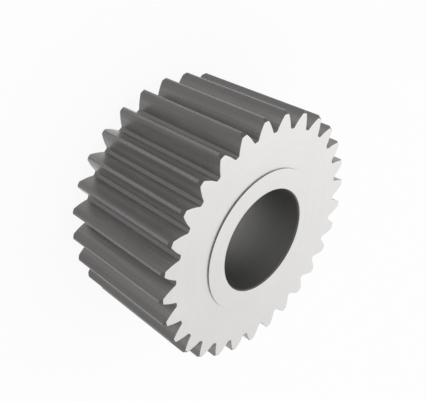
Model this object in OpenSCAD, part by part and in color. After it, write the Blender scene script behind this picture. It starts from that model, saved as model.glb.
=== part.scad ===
// Planet gear: a straight-toothed spur planet, turned and hobbed from one forged steel blank.
// The axis is +Z, and the origin is the middle of the bore, halfway along it.
// A tooth is centred on +X, and the gear stands on the thrust ring of its lower end.

/* [Teeth] */
// Number of teeth
teeth = 29; // [24:1:40]
// Module: pitch diameter divided by the number of teeth
gear_module = 3; // [2.5:0.25:4]
// Pressure angle of the hob, in degrees
pressure_angle = 25; // [22:0.5:27]
// Profile shift, in modules: the hob stands this much farther out
profile_shift = 0.68; // [0.3:0.02:0.8]
// Addendum, in modules: tooth height above the shifted pitch line
addendum = 1.07; // [0.9:0.01:1.1]
// Dedendum, in modules: tooth depth below the shifted pitch line
dedendum = 1.07; // [1:0.01:1.25]
// Tip radius of the hob, in modules, which leaves the fillet at the tooth's root
hob_tip_radius = 0.25; // [0.1:0.05:0.35]

/* [Blank] */
// Width of the toothed rim, from end face to end face
face_width = 49.3; // [20:0.1:80]
// Chamfer that the blank has round the tips of the teeth at both ends
tip_chamfer = 1; // [0.3:0.1:2]

/* [Thrust rings] */
// Outside diameter of the raised ring round the bore
ring_d = 56; // [48:0.5:64]
// Height of the raised ring above the end face of the rim
ring_h = 0.5; // [0.2:0.05:3]
// Edge break on the outer edge of the raised ring
ring_edge = 0.1; // [0.05:0.05:0.15]

/* [Bore] */
// Diameter of the ground bore, in which the needle rollers run
bore_d = 40; // [20:0.5:44]
// Chamfer at both mouths of the bore
bore_chamfer = 0.5; // [0.2:0.1:1.5]

/* [Hidden] */

// Steps along one flank and along one root fillet
flank_steps = 9;
fillet_steps = 6;
// Facets of a full turn in the preview
$fn = 174;

tooth_pitch = 360 / teeth;
pitch_r = gear_module * teeth / 2;
base_r = pitch_r * cos(pressure_angle);
tip_r = pitch_r + gear_module * (profile_shift + addendum);
root_r = pitch_r + gear_module * (profile_shift - dedendum);

face_z = face_width / 2;
ring_z = face_z + ring_h;
bore_r = bore_d / 2;
ring_r = ring_d / 2;

// Centre of the rounded corner of the hob's tooth: its distance from the middle
// of that tooth, and its depth below the line that rolls on the pitch circle
corner_r = hob_tip_radius * gear_module;
corner_depth = gear_module * (dedendum - profile_shift) - corner_r;
corner_x = gear_module * PI / 4
    - (gear_module * dedendum - corner_r) * tan(pressure_angle)
    - corner_r / cos(pressure_angle);

// A tooth space is cut this far past the tips and past both ends of the blank
overcut = gear_module / 2;

// Involute function: the angle unrolled past the base circle, in degrees
function involute(angle) = tan(angle) * 180 / PI - angle;

// Half the angle that a tooth fills at radius r
pitch_half_tooth = (PI / 2 + 2 * profile_shift * tan(pressure_angle)) / teeth * 180 / PI;
function half_tooth(r) = pitch_half_tooth + involute(pressure_angle) - involute(acos(base_r / r));

function polar(r, angle) = r * [cos(angle), sin(angle)];

// Point of the flank at radius r, for a space centred on +X
function flank_point(r) = polar(r, tooth_pitch / 2 - half_tooth(r));

// Point of the fillet that the hob's corner leaves while it rolls past. The contact
// normal leans at `lean` degrees: the pressure angle where the fillet meets the
// flank, and 90 degrees on the root circle.
function roll(lean) = corner_depth / tan(lean) - corner_x;
function fillet_contact(lean) = [
    pitch_r - corner_depth - corner_r * sin(lean),
    corner_x + roll(lean) + corner_r * cos(lean)
];
function fillet_point(lean) =
    let (contact = fillet_contact(lean))
    polar(norm(contact), atan2(contact[1], contact[0]) - roll(lean) / pitch_r * 180 / PI);

// Half of the outline of one tooth space, from the root outwards
form_r = norm(fillet_contact(pressure_angle));
half_space = [
    for (i = [0 : fillet_steps - 1])
        fillet_point(90 - i * (90 - pressure_angle) / fillet_steps),
    for (i = [0 : flank_steps])
        flank_point(form_r + i * (tip_r + overcut - form_r) / flank_steps)
];

function mirrored(points) = [
    for (i = [len(points) - 1 : -1 : 0]) [points[i][0], -points[i][1]]
];

// Half of the turned section, from the middle plane up to the end of the bore
half_section = [
    [tip_r, face_z - tip_chamfer],
    [tip_r - tip_chamfer, face_z],
    [ring_r, face_z],
    [ring_r, ring_z - ring_edge],
    [ring_r - ring_edge, ring_z],
    [bore_r + bore_chamfer, ring_z],
    [bore_r, ring_z - bore_chamfer]
];

module turned_blank() {
    rotate_extrude()
        polygon(concat(half_section, mirrored(half_section)));
}

module tooth_space() {
    linear_extrude(height = face_width + 2 * overcut, center = true)
        polygon(concat(mirrored(half_space), half_space));
}

module planet_gear() {
    color("dimgray")
        difference() {
            turned_blank();
            for (i = [0 : teeth - 1])
                rotate((i + 0.5) * tooth_pitch)
                    tooth_space();
        }
}

planet_gear();
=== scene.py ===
"""Planet gear: one forged, turned and hobbed steel gear that stands on its end in a pale studio."""
import math
from collections import namedtuple

import bmesh
import bpy
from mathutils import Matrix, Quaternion, Vector


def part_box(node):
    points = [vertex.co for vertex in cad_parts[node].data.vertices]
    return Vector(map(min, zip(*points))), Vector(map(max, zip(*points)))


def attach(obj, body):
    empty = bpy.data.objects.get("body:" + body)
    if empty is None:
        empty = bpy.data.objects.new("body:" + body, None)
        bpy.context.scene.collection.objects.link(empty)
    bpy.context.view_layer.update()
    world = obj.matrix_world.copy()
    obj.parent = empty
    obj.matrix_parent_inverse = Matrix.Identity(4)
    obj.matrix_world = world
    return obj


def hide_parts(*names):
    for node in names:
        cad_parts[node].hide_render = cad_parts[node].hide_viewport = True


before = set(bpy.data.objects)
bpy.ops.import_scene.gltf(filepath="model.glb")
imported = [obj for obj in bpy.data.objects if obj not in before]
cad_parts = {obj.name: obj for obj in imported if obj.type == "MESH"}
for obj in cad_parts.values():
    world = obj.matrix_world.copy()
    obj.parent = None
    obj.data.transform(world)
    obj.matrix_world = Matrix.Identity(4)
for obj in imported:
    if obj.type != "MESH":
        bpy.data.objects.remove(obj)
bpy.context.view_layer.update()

# Tooth form. The real teeth are cut by a hob that rolls round the blank: the flanks are involutes,
# and the rounded corner of the hob leaves the fillet at each root. All the lengths are metres.
MM = 0.001
TEETH = 29
MODULE = 3 * MM
PRESSURE_ANGLE = math.radians(25)
PROFILE_SHIFT = 0.68
ADDENDUM = 1.07
DEDENDUM = 1.07
HALF_PITCH = math.pi / TEETH
PITCH_R = MODULE * TEETH / 2
BASE_R = PITCH_R * math.cos(PRESSURE_ANGLE)
TIP_R = PITCH_R + MODULE * (PROFILE_SHIFT + ADDENDUM)
ROOT_R = PITCH_R + MODULE * (PROFILE_SHIFT - DEDENDUM)
PITCH_HALF_TOOTH = (math.pi / 2 + 2 * PROFILE_SHIFT * math.tan(PRESSURE_ANGLE)) / TEETH
TIP_BREAK = 0.2 * MM
ROOT_STEPS = 2
FILLET_STEPS = 6
FLANK_STEPS = 14

# The hob's rounded corner: its radius, and its middle's depth below the pitch circle and distance
# from the middle of the hob's own tooth.
HOB_CORNER = 0.25 * MODULE
CORNER_DEPTH = MODULE * (DEDENDUM - PROFILE_SHIFT) - HOB_CORNER
CORNER_X = (
    MODULE * math.pi / 4
    - (MODULE * DEDENDUM - HOB_CORNER) * math.tan(PRESSURE_ANGLE)
    - HOB_CORNER / math.cos(PRESSURE_ANGLE)
)


def involute(angle):
    """How far an involute has turned from its start where its pressure angle is this."""
    return math.tan(angle) - angle


def half_tooth(radius):
    """Half the angle that a tooth fills at a radius."""
    return PITCH_HALF_TOOTH + involute(PRESSURE_ANGLE) - involute(math.acos(BASE_R / radius))


def polar(radius, angle):
    """A point seen along the bore, from its radius and angle."""
    return Vector((radius * math.cos(angle), radius * math.sin(angle)))


def fillet_polar(lean, inset):
    """Radius of a point of the root fillet and its angle from the middle of the tooth space."""
    roll = CORNER_DEPTH / math.tan(lean) - CORNER_X
    reach = HOB_CORNER + inset
    across = PITCH_R - CORNER_DEPTH - reach * math.sin(lean)
    along = CORNER_X + roll + reach * math.cos(lean)
    return math.hypot(across, along), math.atan2(along, across) - roll / PITCH_R


def rounded(before, corner, after, reach):
    """Three points that break a corner over a reach to each side."""
    start = corner + (before - corner).normalized() * reach
    end = corner + (after - corner).normalized() * reach
    return [start, (start + corner * 2 + end) / 4, end]


def tooth_outline(clip_r, inset):
    """Columns of one pitch, from space to space over the tooth on +X: the outline that the hob
    leaves on a blank of radius clip_r, drawn in all along by inset."""
    fillet = []
    for step in range(FILLET_STEPS + 1):
        lean = math.pi / 2 - step * (math.pi / 2 - PRESSURE_ANGLE) / FILLET_STEPS
        fillet.append(fillet_polar(lean, inset))
    fillet_start = fillet[0][1]
    form_r = fillet[-1][0]
    end_r = clip_r - inset

    def flank(radius):
        return polar(radius, inset / BASE_R - half_tooth(radius))

    columns = []
    for step in range(ROOT_STEPS):
        columns.append(polar(ROOT_R - inset, step / ROOT_STEPS * fillet_start - HALF_PITCH))
    for radius, angle in fillet:
        columns.append(polar(radius, angle - HALF_PITCH))
    for step in range(1, FLANK_STEPS + 1):
        columns.append(flank(form_r + (end_r - 2 * TIP_BREAK - form_r) * step / FLANK_STEPS))
    top = polar(end_r, 0)
    columns += rounded(columns[-1], flank(end_r), top, TIP_BREAK) + [top]
    return columns + [Vector((point.x, -point.y)) for point in reversed(columns[:-1])]


# Blank. The real one is a forged ring, turned all over: a thrust ring stands proud round the bore at
# each end, the mouths of the bore are chamfered, and so is the rim where the teeth will end.
low_corner, high_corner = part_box("planet_gear")
RING_Z = high_corner[2]
RING_H = 0.5 * MM
FACE_Z = RING_Z - RING_H
RING_R = 28 * MM
BORE_R = 20 * MM
BORE_CHAMFER = 0.5 * MM
TIP_CHAMFER = 1 * MM
EDGE_BREAK = 0.1 * MM
FACE_BAND = 0.7 * MM
BORE, TURNED, GROUND, HOBBED = range(4)

# Wear, from 0 to 1: over the three points of a broken edge, at the corners of the tip on the chamfer
# and along the tooth, and the share of it that each column takes, counted from the middle of the land.
BREAK_WEAR = (0.4, 1, 0.4)
CHAMFER_WEAR = 0.5
TIP_WEAR = 1
COLUMN_WEAR = {1: 1, 2: 1, 3: 0.6}
LAND_COLUMNS = max(COLUMN_WEAR)
COLUMNS = len(tooth_outline(TIP_R, 0))
MIDDLE = COLUMNS // 2

# A row of points across the pitch. Its finish reaches to the next row, and tip_wear counts only at
# the corners of the tip.
Station = namedtuple("Station", "columns height finish wear tip_wear")


def circle_columns(radius, even):
    """Columns on a circle: evenly spread where even is 1, in line with the tooth outline where it is 0."""
    outline = tooth_outline(TIP_R, 0)
    columns = []
    for index, point in enumerate(outline):
        spread = (2 * index / (COLUMNS - 1) - 1) * HALF_PITCH
        angle = spread * even + math.atan2(point.y, point.x) * (1 - even)
        columns.append(polar(radius, angle))
    return columns


def upper_stations():
    """Stations of the turned section, from the bore to the side of the teeth."""
    bore_wall = Vector((BORE_R, 0))
    bore_mouth = Vector((BORE_R, RING_Z - BORE_CHAMFER))
    ring_inner = Vector((BORE_R + BORE_CHAMFER, RING_Z))
    ring_outer = Vector((RING_R, RING_Z))
    ring_foot = Vector((RING_R, FACE_Z))
    face_out = Vector((ROOT_R - FACE_BAND, FACE_Z))
    corners = [
        (rounded(bore_wall, bore_mouth, ring_inner, EDGE_BREAK), BORE, TURNED),
        (rounded(bore_mouth, ring_inner, ring_outer, EDGE_BREAK), GROUND, GROUND),
        (rounded(ring_inner, ring_outer, ring_foot, EDGE_BREAK), GROUND, TURNED),
        (rounded(ring_outer, ring_foot, face_out, EDGE_BREAK / 2), TURNED, GROUND),
    ]
    stations = []
    for points, finish_within, finish_after in corners:
        finishes = (finish_within, finish_after, finish_after)
        for point, finish, wear in zip(points, finishes, BREAK_WEAR):
            stations.append(Station(circle_columns(point.x, 1), point.y, finish, wear, wear))
    end_r = TIP_R - TIP_CHAMFER
    sliver = EDGE_BREAK / 4
    stations += [
        Station(circle_columns(face_out.x - 2 * FACE_BAND, 0), FACE_Z, GROUND, 0, 0),
        Station(tooth_outline(end_r, FACE_BAND), FACE_Z, GROUND, 0, 0),
        Station(tooth_outline(end_r, EDGE_BREAK), FACE_Z, HOBBED, 0, 0),
        Station(tooth_outline(end_r, sliver), FACE_Z - sliver, HOBBED, 0, CHAMFER_WEAR),
    ]
    for drop in (EDGE_BREAK, TIP_CHAMFER / 2, TIP_CHAMFER - EDGE_BREAK):
        stations.append(Station(tooth_outline(end_r + drop, 0), FACE_Z - drop, HOBBED, 0, CHAMFER_WEAR))
    land_z = FACE_Z - TIP_CHAMFER
    stations += [
        Station(tooth_outline(TIP_R - sliver, 0), land_z, HOBBED, 0, TIP_WEAR),
        Station(tooth_outline(TIP_R, 0), land_z - EDGE_BREAK, HOBBED, 0, TIP_WEAR),
        Station(tooth_outline(TIP_R, 0), land_z - 3 * EDGE_BREAK, HOBBED, 0, TIP_WEAR),
    ]
    return stations


def pitch_sector():
    """Mesh of one pitch of the gear: one whole tooth, with the section from the bore to its tip."""
    upper = upper_stations()
    lower = []
    for index in reversed(range(len(upper))):
        station = upper[index]
        finish = upper[index - 1].finish if index else BORE
        lower.append(station._replace(height=-station.height, finish=finish))
    loop = upper + lower
    shape = bmesh.new()
    wear_layer = shape.verts.layers.float.new("edge_wear")
    finish_layer = shape.faces.layers.int.new("finish")
    rows = []
    for station in loop:
        row = [shape.verts.new((point.x, point.y, station.height)) for point in station.columns]
        for column, vert in enumerate(row):
            corner_wear = station.tip_wear * COLUMN_WEAR.get(abs(column - MIDDLE), 0)
            vert[wear_layer] = max(station.wear, corner_wear)
        rows.append(row)
    for index, row in enumerate(rows):
        following = rows[(index + 1) % len(rows)]
        for column in range(COLUMNS - 1):
            face = shape.faces.new((row[column], following[column], following[column + 1], row[column + 1]))
            finish = loop[index].finish
            if finish == HOBBED and MIDDLE - LAND_COLUMNS <= column < MIDDLE + LAND_COLUMNS:
                finish = TURNED
            face[finish_layer] = finish
            face.smooth = True
    mesh = bpy.data.meshes.new("pitch_sector")
    shape.to_mesh(mesh)
    shape.free()
    return mesh


# Finishes. One heat-treated steel with four surfaces: ground end faces, a ground bore, turned
# chamfers and tip lands, and hobbed flanks that keep the dark skin of the hardening furnace, with painted
# fill light that makes that skin lighter deep in the tooth spaces.
class Wire:
    """A socket of a node tree. Sums with it add Math nodes, and node() adds any other node."""

    def __init__(self, tree, socket=None):
        self.tree = tree
        self.socket = socket

    def node(self, kind, settings, sockets, output=0):
        """Add a node to the tree, and return the wire from one of its outputs."""
        made = self.tree.nodes.new(kind)
        for name, value in settings.items():
            setattr(made, name, value)
        for name, value in sockets.items():
            if isinstance(value, Wire):
                self.tree.links.new(value.socket, made.inputs[name])
            else:
                made.inputs[name].default_value = value
        return Wire(self.tree, made.outputs[output]) if made.outputs else None

    def beside(self, output):
        """The wire from another output of the same node."""
        return Wire(self.tree, self.socket.node.outputs[output])

    def math(self, operation, first, second=0.0):
        """Add a Math node."""
        return self.node("ShaderNodeMath", {"operation": operation}, {0: first, 1: second})

    def __add__(self, other):
        return self.math("ADD", self, other)

    def __sub__(self, other):
        return self.math("SUBTRACT", self, other)

    def __rsub__(self, other):
        return self.math("SUBTRACT", other, self)

    def __mul__(self, other):
        return self.math("MULTIPLY", self, other)

    def __truediv__(self, other):
        return self.math("DIVIDE", self, other)

    def __rtruediv__(self, other):
        return self.math("DIVIDE", other, self)

    __radd__ = __add__
    __rmul__ = __mul__


def new_material(name):
    """A material with an empty node tree."""
    material = bpy.data.materials.new(name)
    material.use_nodes = True
    material.node_tree.nodes.clear()
    return material


def new_finish(name):
    """A new material, and its object coordinates as a wire."""
    material = new_material(name)
    return material, Wire(material.node_tree).node("ShaderNodeTexCoord", {}, {}, "Object")


def colour_mix(place, factor, first, second):
    """Colour between two colours, which are inputs 6 and 7 and output 2 of the Mix node."""
    return place.node("ShaderNodeMix", {"data_type": "RGBA"}, {0: factor, 6: first, 7: second}, 2)


def smooth_map(wire, start, end, low=0.0, high=1.0):
    """A wire eased from low at its value start to high at its value end."""
    return wire.node("ShaderNodeMapRange", {"interpolation_type": "SMOOTHSTEP"}, {
        "Value": wire, "From Min": start, "From Max": end, "To Min": low, "To Max": high})


def noise(place, stretch, scale, detail=3.0):
    """Noise from 0 to 1, drawn out along the axes by the inverse of stretch."""
    scaled = place.node("ShaderNodeVectorMath", {"operation": "MULTIPLY"}, {0: place, 1: stretch})
    return place.node("ShaderNodeTexNoise", {}, {"Vector": scaled, "Scale": scale, "Detail": detail})


def contrast(wire, gain):
    """A wire spread about its middle value of a half."""
    return (wire - 0.5) * gain + 0.5


LathePlace = namedtuple("LathePlace", "x y radius height")


def lathe_place(place):
    """A place as the lathe has it: X and Y across the axis, the distance from it and the height."""
    x = place.node("ShaderNodeSeparateXYZ", {}, {0: place}, "X")
    y = x.beside("Y")
    return LathePlace(x, y, place.math("SQRT", x * x + y * y), x.beside("Z"))


def edge_wear(place):
    """The wear that the mesh carries at its points, from the Attribute node's plain number."""
    return place.node("ShaderNodeAttribute", {"attribute_name": "edge_wear"}, {}, 2)


# Where the skin is worn through: the steel's colour, the most of it that shows, and the wear at
# which it starts and is full.
BARE_STEEL = (0.6, 0.593, 0.58, 1)
BARE_SHARE = 0.28
BARE_START = 0.65
BARE_FULL = 1.2
MOTTLE_WEAR = 0.3
STEEL_GLOSS = 0.15
OIL_ROUGHNESS = 0.34
OIL_IOR = 1.6


def bare_edges(place, skin, mottle):
    """Skin colour with bright steel where handling has worn the tip corners, and how bare each point is."""
    bare = smooth_map(edge_wear(place) + mottle * MOTTLE_WEAR, BARE_START, BARE_FULL, high=BARE_SHARE)
    return colour_mix(place, bare, skin, BARE_STEEL), bare


def close_finish(place, colour, roughness, metallic, oil, height, depth):
    """Close a finish: steel or its skin under a film of oil, with its height wire's relief in metres."""
    relief = place.node("ShaderNodeBump", {}, {"Strength": 1.0, "Distance": depth, "Height": height})
    steel = place.node("ShaderNodeBsdfPrincipled", {}, {
        "Base Color": colour, "Roughness": roughness, "Metallic": metallic, "Normal": relief,
        "Specular IOR Level": STEEL_GLOSS,
        "Coat Weight": oil, "Coat Roughness": OIL_ROUGHNESS, "Coat IOR": OIL_IOR})
    place.node("ShaderNodeOutputMaterial", {}, {"Surface": steel})


GROUND_DARK = (0.79, 0.781, 0.766, 1)
GROUND_LIGHT = (0.895, 0.886, 0.871, 1)
RINGS_PER_METRE = 2600
RING_DRIFT = 2
GROUND_ROUGHNESS = 0.28
GRINDING_DEPTH = 0.003 * MM


def ground_finish():
    """Bright steel with the fine rings of a face grinder."""
    material, place = new_finish("ground end face")
    at = lathe_place(place)
    swirl = place.node("ShaderNodeCombineXYZ", {}, {
        0: at.radius * RINGS_PER_METRE,
        1: at.x / at.radius * RING_DRIFT,
        2: at.y / at.radius * RING_DRIFT})
    rings = place.node("ShaderNodeTexNoise", {}, {"Vector": swirl, "Scale": 1.0, "Detail": 3.0})
    lines = contrast(rings, 1.8)
    clouds = noise(place, stretch=(1, 1, 1), scale=55)
    close_finish(
        place,
        colour=colour_mix(place, lines * 0.5 + clouds * 0.5, GROUND_DARK, GROUND_LIGHT),
        roughness=lines * 0.1 + clouds * 0.08 + GROUND_ROUGHNESS - edge_wear(place) * 0.05,
        metallic=1.0,
        oil=0.0,
        height=lines,
        depth=GRINDING_DEPTH)
    return material


SKIN_DARK = (0.069, 0.065, 0.064, 1)
SKIN_LIGHT = (0.122, 0.116, 0.113, 1)
# Painted fill light: a lighter skin colour deep in the tooth spaces stands in for light bounced into them.
# It is not a change in the steel.
PAINTED_FILL_DARK = (0.147, 0.140, 0.136, 1)
PAINTED_FILL_LIGHT = (0.264, 0.249, 0.243, 1)
PAINTED_FILL_START = TIP_R - 1 * MM
PAINTED_FILL_FULL = TIP_R - 4 * MM
PAINTED_FILL_AT_ROOT = 0.2
PAINTED_FILL_RISE = 0.8 * MM
SKIN_METAL = 0.1
SKIN_ROUGHNESS = 0.26
FEED = 2.2 * MM
HOBBING_DEPTH = 0.003 * MM


def hobbed_finish():
    """Dark skin with painted fill light, which makes it lighter from a little below the tip down to the
    root, with lines drawn along the tooth and a faint wave from the feed of the hob."""
    material, place = new_finish("hobbed flank")
    at = lathe_place(place)
    drawn = contrast(noise(place, stretch=(1, 1, 0.02), scale=1800), 2.4)
    mottle = noise(place, stretch=(1, 1, 1), scale=140, detail=4)
    feed = place.math("SINE", at.height * (2 * math.pi / FEED)) * 0.5 + 0.5
    tone = drawn * 0.55 + mottle * 0.35 + feed * 0.1
    skin = colour_mix(place, tone, SKIN_DARK, SKIN_LIGHT)
    painted_fill = colour_mix(place, tone, PAINTED_FILL_DARK, PAINTED_FILL_LIGHT)
    # Painted fill light: none within a millimetre of the tip, full from four millimetres below it, and less
    # at the root itself.
    below_tip = smooth_map(at.radius, PAINTED_FILL_START, PAINTED_FILL_FULL)
    above_root = smooth_map(at.radius, ROOT_R, ROOT_R + PAINTED_FILL_RISE, low=PAINTED_FILL_AT_ROOT)
    colour, bare = bare_edges(place, colour_mix(place, below_tip * above_root, skin, painted_fill), mottle)
    close_finish(
        place,
        colour=colour,
        roughness=drawn * 0.08 + mottle * 0.1 + SKIN_ROUGHNESS,
        metallic=bare * (1 - SKIN_METAL) + SKIN_METAL,
        oil=1 - bare,
        height=drawn + feed * 0.5,
        depth=HOBBING_DEPTH)
    return material


TURNED_DARK = (0.057, 0.054, 0.053, 1)
TURNED_LIGHT = (0.078, 0.074, 0.072, 1)
TURNED_METAL = 0.25
TURNED_ROUGHNESS = 0.22
TURNED_OIL = 0.7
TURNING_DEPTH = 0.0015 * MM


def turned_finish():
    """Dark skin with fine lines round the gear, as the lathe tool leaves them."""
    material, place = new_finish("turned chamfer")
    lines = noise(place, stretch=(1, 1, 4), scale=700)
    mottle = noise(place, stretch=(1, 1, 1), scale=140, detail=4)
    colour, bare = bare_edges(place, colour_mix(place, lines, TURNED_DARK, TURNED_LIGHT), mottle)
    close_finish(
        place,
        colour=colour,
        roughness=lines * 0.1 + TURNED_ROUGHNESS,
        metallic=bare * (1 - TURNED_METAL) + TURNED_METAL,
        oil=TURNED_OIL - bare * TURNED_OIL,
        height=lines,
        depth=TURNING_DEPTH)
    return material


BORE_DARK = (0.238, 0.235, 0.229, 1)
BORE_LIGHT = (0.334, 0.330, 0.322, 1)
BORE_METAL = 0.92
BORE_ROUGHNESS = 0.4
BORE_OIL = 0.4


def bore_finish():
    """Grey steel with the lines of a bore grinder, under a thin film of oil."""
    material, place = new_finish("ground bore")
    lines = noise(place, stretch=(0.15, 0.15, 6), scale=500)
    clouds = noise(place, stretch=(1, 1, 1), scale=60)
    close_finish(
        place,
        colour=colour_mix(place, contrast(lines, 1.6) * 0.6 + clouds * 0.4, BORE_DARK, BORE_LIGHT),
        roughness=lines * 0.08 + BORE_ROUGHNESS,
        metallic=BORE_METAL,
        oil=BORE_OIL,
        height=lines,
        depth=GRINDING_DEPTH)
    return material


FINISHES = {BORE: bore_finish(), TURNED: turned_finish(), GROUND: ground_finish(), HOBBED: hobbed_finish()}

# Gear. The sector of one tooth is repeated round the bore, as the hob repeats its cut, and the
# copies are welded into one closed piece of steel.
WELD_DISTANCE = 0.002 * MM


def add_size(tree, name, kind, value):
    """A named input of a tree, and the value that it has there."""
    tree.interface.new_socket(name=name, in_out="INPUT", socket_type=kind).default_value = value


def hobbing_tree():
    """Tree that turns a copy of the sector to each tooth, welds the copies and gives each its finish."""
    tree = bpy.data.node_groups.new("repeat_teeth", "GeometryNodeTree")
    tree.interface.new_socket(name="Geometry", in_out="INPUT", socket_type="NodeSocketGeometry")
    add_size(tree, "Teeth", "NodeSocketInt", TEETH)
    add_size(tree, "Weld Distance", "NodeSocketFloat", WELD_DISTANCE)
    tree.interface.new_socket(name="Geometry", in_out="OUTPUT", socket_type="NodeSocketGeometry")
    tooth = Wire(tree).node("NodeGroupInput", {}, {}, "Geometry")
    teeth = tooth.beside("Teeth")
    points = tooth.node("GeometryNodePoints", {}, {"Count": teeth})
    index = tooth.node("GeometryNodeInputIndex", {}, {})
    turn = tooth.node("ShaderNodeCombineXYZ", {}, {"Z": index / teeth * (2 * math.pi)})
    copies = tooth.node("GeometryNodeInstanceOnPoints", {}, {
        "Points": points, "Instance": tooth, "Rotation": turn})
    real = tooth.node("GeometryNodeRealizeInstances", {}, {0: copies})
    made = tooth.node("GeometryNodeMergeByDistance", {}, {
        "Geometry": real, "Distance": tooth.beside("Weld Distance")})
    finish = tooth.node(
        "GeometryNodeInputNamedAttribute", {"data_type": "INT"}, {"Name": "finish"}, "Attribute")
    for number, material in FINISHES.items():
        same = tooth.node("FunctionNodeCompare", {"data_type": "INT", "operation": "EQUAL"}, {
            2: finish, 3: number})
        made = tooth.node("GeometryNodeSetMaterial", {}, {
            "Geometry": made, "Selection": same, "Material": material})
    tooth.node("NodeGroupOutput", {}, {0: made})
    return tree


sector = bpy.data.objects.new("sector", pitch_sector())
sector.data.materials.append(FINISHES[GROUND])
bpy.context.collection.objects.link(sector)
repeat = sector.modifiers.new("repeat_teeth", "NODES")
repeat.node_group = hobbing_tree()
sector.modifiers.new("even_light", "WEIGHTED_NORMAL")
evaluated = sector.evaluated_get(bpy.context.evaluated_depsgraph_get())
gear = bpy.data.objects.new("gear", bpy.data.meshes.new_from_object(evaluated))
bpy.context.collection.objects.link(gear)
bpy.data.objects.remove(sector)
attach(gear, "root")
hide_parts("planet_gear")

# Floor. The gear stands on the thrust ring of its lower end, on a plain sheet of white paper that
# runs out of view all round.
FLOOR_SIZE = 40.0
PAPER = (0.95, 0.95, 0.95, 1)
WHITE = (1, 1, 1, 1)
GLOW_SHARE = 0.9


def seen_directly(start):
    """1 for rays from the camera, from gloss or through glass, and 0 for those that gather matt light."""
    camera_ray = start.node("ShaderNodeLightPath", {}, {}, "Is Camera Ray")
    return camera_ray + camera_ray.beside("Is Glossy Ray") + camera_ray.beside("Is Transmission Ray")


def paper_finish():
    """Matt white paper that keeps a share of the gear's shadow where it is seen directly."""
    material = new_material("white paper")
    start = Wire(material.node_tree)
    sheet = start.node("ShaderNodeBsdfDiffuse", {}, {"Color": PAPER})
    glow = start.node("ShaderNodeEmission", {}, {"Color": WHITE, "Strength": 1.0})
    shown = start.node("ShaderNodeMixShader", {}, {0: seen_directly(start) * GLOW_SHARE, 1: sheet, 2: glow})
    start.node("ShaderNodeOutputMaterial", {}, {"Surface": shown})
    return material


floor_shape = bmesh.new()
bmesh.ops.create_grid(floor_shape, x_segments=1, y_segments=1, size=FLOOR_SIZE / 2)
for vert in floor_shape.verts:
    vert.co.z = low_corner[2]
floor_mesh = bpy.data.meshes.new("floor")
floor_shape.to_mesh(floor_mesh)
floor_shape.free()
floor_mesh.materials.append(paper_finish())
floor = bpy.data.objects.new("floor", floor_mesh)
bpy.context.collection.objects.link(floor)

# Light. A pale room, brightest behind the gear on its left, whose walls are as white as the floor
# where they meet it. Two wide soft boxes hang above the gear, the stronger one on that side too.
BRIGHT_AZIMUTH = 155
BRIGHT_ELEVATION = 25
WALL_DIM = 0.78
WALL_BRIGHT = 0.95
WALL_FOOT = 0.98
BOX_ELEVATION = 52
BOX_DISTANCE = 1.2
BOX_WIDTH = 1.6
BOX_HEIGHT = 1.2

# The cosines between which the wall brightens, and the heights between which its foot whitens.
BRIGHT_RIM = 0.3
BRIGHT_CORE = 0.7
FOOT_TOP = 0.38
FOOT_WHITE = 0.14


def direction_to(azimuth, elevation):
    """Unit vector from the gear towards a point of the room, from angles in degrees."""
    around = math.radians(azimuth)
    up = math.radians(elevation)
    return Vector((math.cos(up) * math.cos(around), math.cos(up) * math.sin(around), math.sin(up)))


world = bpy.data.worlds.new("studio")
bpy.context.scene.world = world
world.use_nodes = True
world.node_tree.nodes.clear()
direction = Wire(world.node_tree).node("ShaderNodeTexCoord", {}, {}, "Generated")
towards = direction.node("ShaderNodeVectorMath", {"operation": "DOT_PRODUCT"}, {
    0: direction, 1: direction_to(BRIGHT_AZIMUTH, BRIGHT_ELEVATION)}, "Value")
wall = direction.node("ShaderNodeMapRange", {}, {
    "Value": towards, "From Min": BRIGHT_RIM, "From Max": BRIGHT_CORE,
    "To Min": WALL_DIM, "To Max": WALL_BRIGHT})
rise = direction.node("ShaderNodeSeparateXYZ", {}, {0: direction}, "Z")
foot = smooth_map(rise, FOOT_TOP, FOOT_WHITE)
sky = direction.node("ShaderNodeBackground", {}, {
    "Color": WHITE, "Strength": wall + (WALL_FOOT - wall) * foot})
direction.node("ShaderNodeOutputWorld", {}, {"Surface": sky})

for name, azimuth, strength in (("left_box", 150, 0.06), ("right_box", -20, 0.04)):
    lamp = bpy.data.lights.new(name, "AREA")
    lamp.shape = "RECTANGLE"
    lamp.size = BOX_WIDTH
    lamp.size_y = BOX_HEIGHT
    # A white surface that faces the box at the gear's place shines with about this strength.
    lamp.energy = strength * (math.pi * BOX_DISTANCE) ** 2
    box = bpy.data.objects.new(name, lamp)
    bpy.context.collection.objects.link(box)
    aim = direction_to(azimuth, BOX_ELEVATION)
    box.location = aim * BOX_DISTANCE
    box.rotation_mode = "QUATERNION"
    box.rotation_quaternion = aim.to_track_quat("Z", "Y")
    box.visible_camera = False

# Camera. It looks down on the standing gear from the front, turned about its own line of sight as
# the photograph is, and its small shift sets the gear in the frame.
CAMERA_AZIMUTH = -92.375
CAMERA_ELEVATION = 30.381
CAMERA_DISTANCE = 218.918 * MM
CAMERA_AIM = Vector((-0.7533 * MM, -7.6369 * MM, 0))
CAMERA_ROLL = math.radians(119.390)
camera_data = bpy.data.cameras.new("camera")
camera_data.lens = 50.892
camera_data.sensor_width = 36
camera_data.shift_x = 0.01887
camera_data.shift_y = 0.01366
camera_data.clip_start = 0.01
camera = bpy.data.objects.new("camera", camera_data)
bpy.context.collection.objects.link(camera)
camera.location = Vector((0, 0, FACE_Z)) + direction_to(CAMERA_AZIMUTH, CAMERA_ELEVATION) * CAMERA_DISTANCE
look = (CAMERA_AIM - camera.location).to_track_quat("-Z", "Y")
camera.rotation_mode = "QUATERNION"
camera.rotation_quaternion = look @ Quaternion((0, 0, 1), CAMERA_ROLL)
bpy.context.scene.camera = camera
bpy.context.scene.view_settings.view_transform = "Standard"
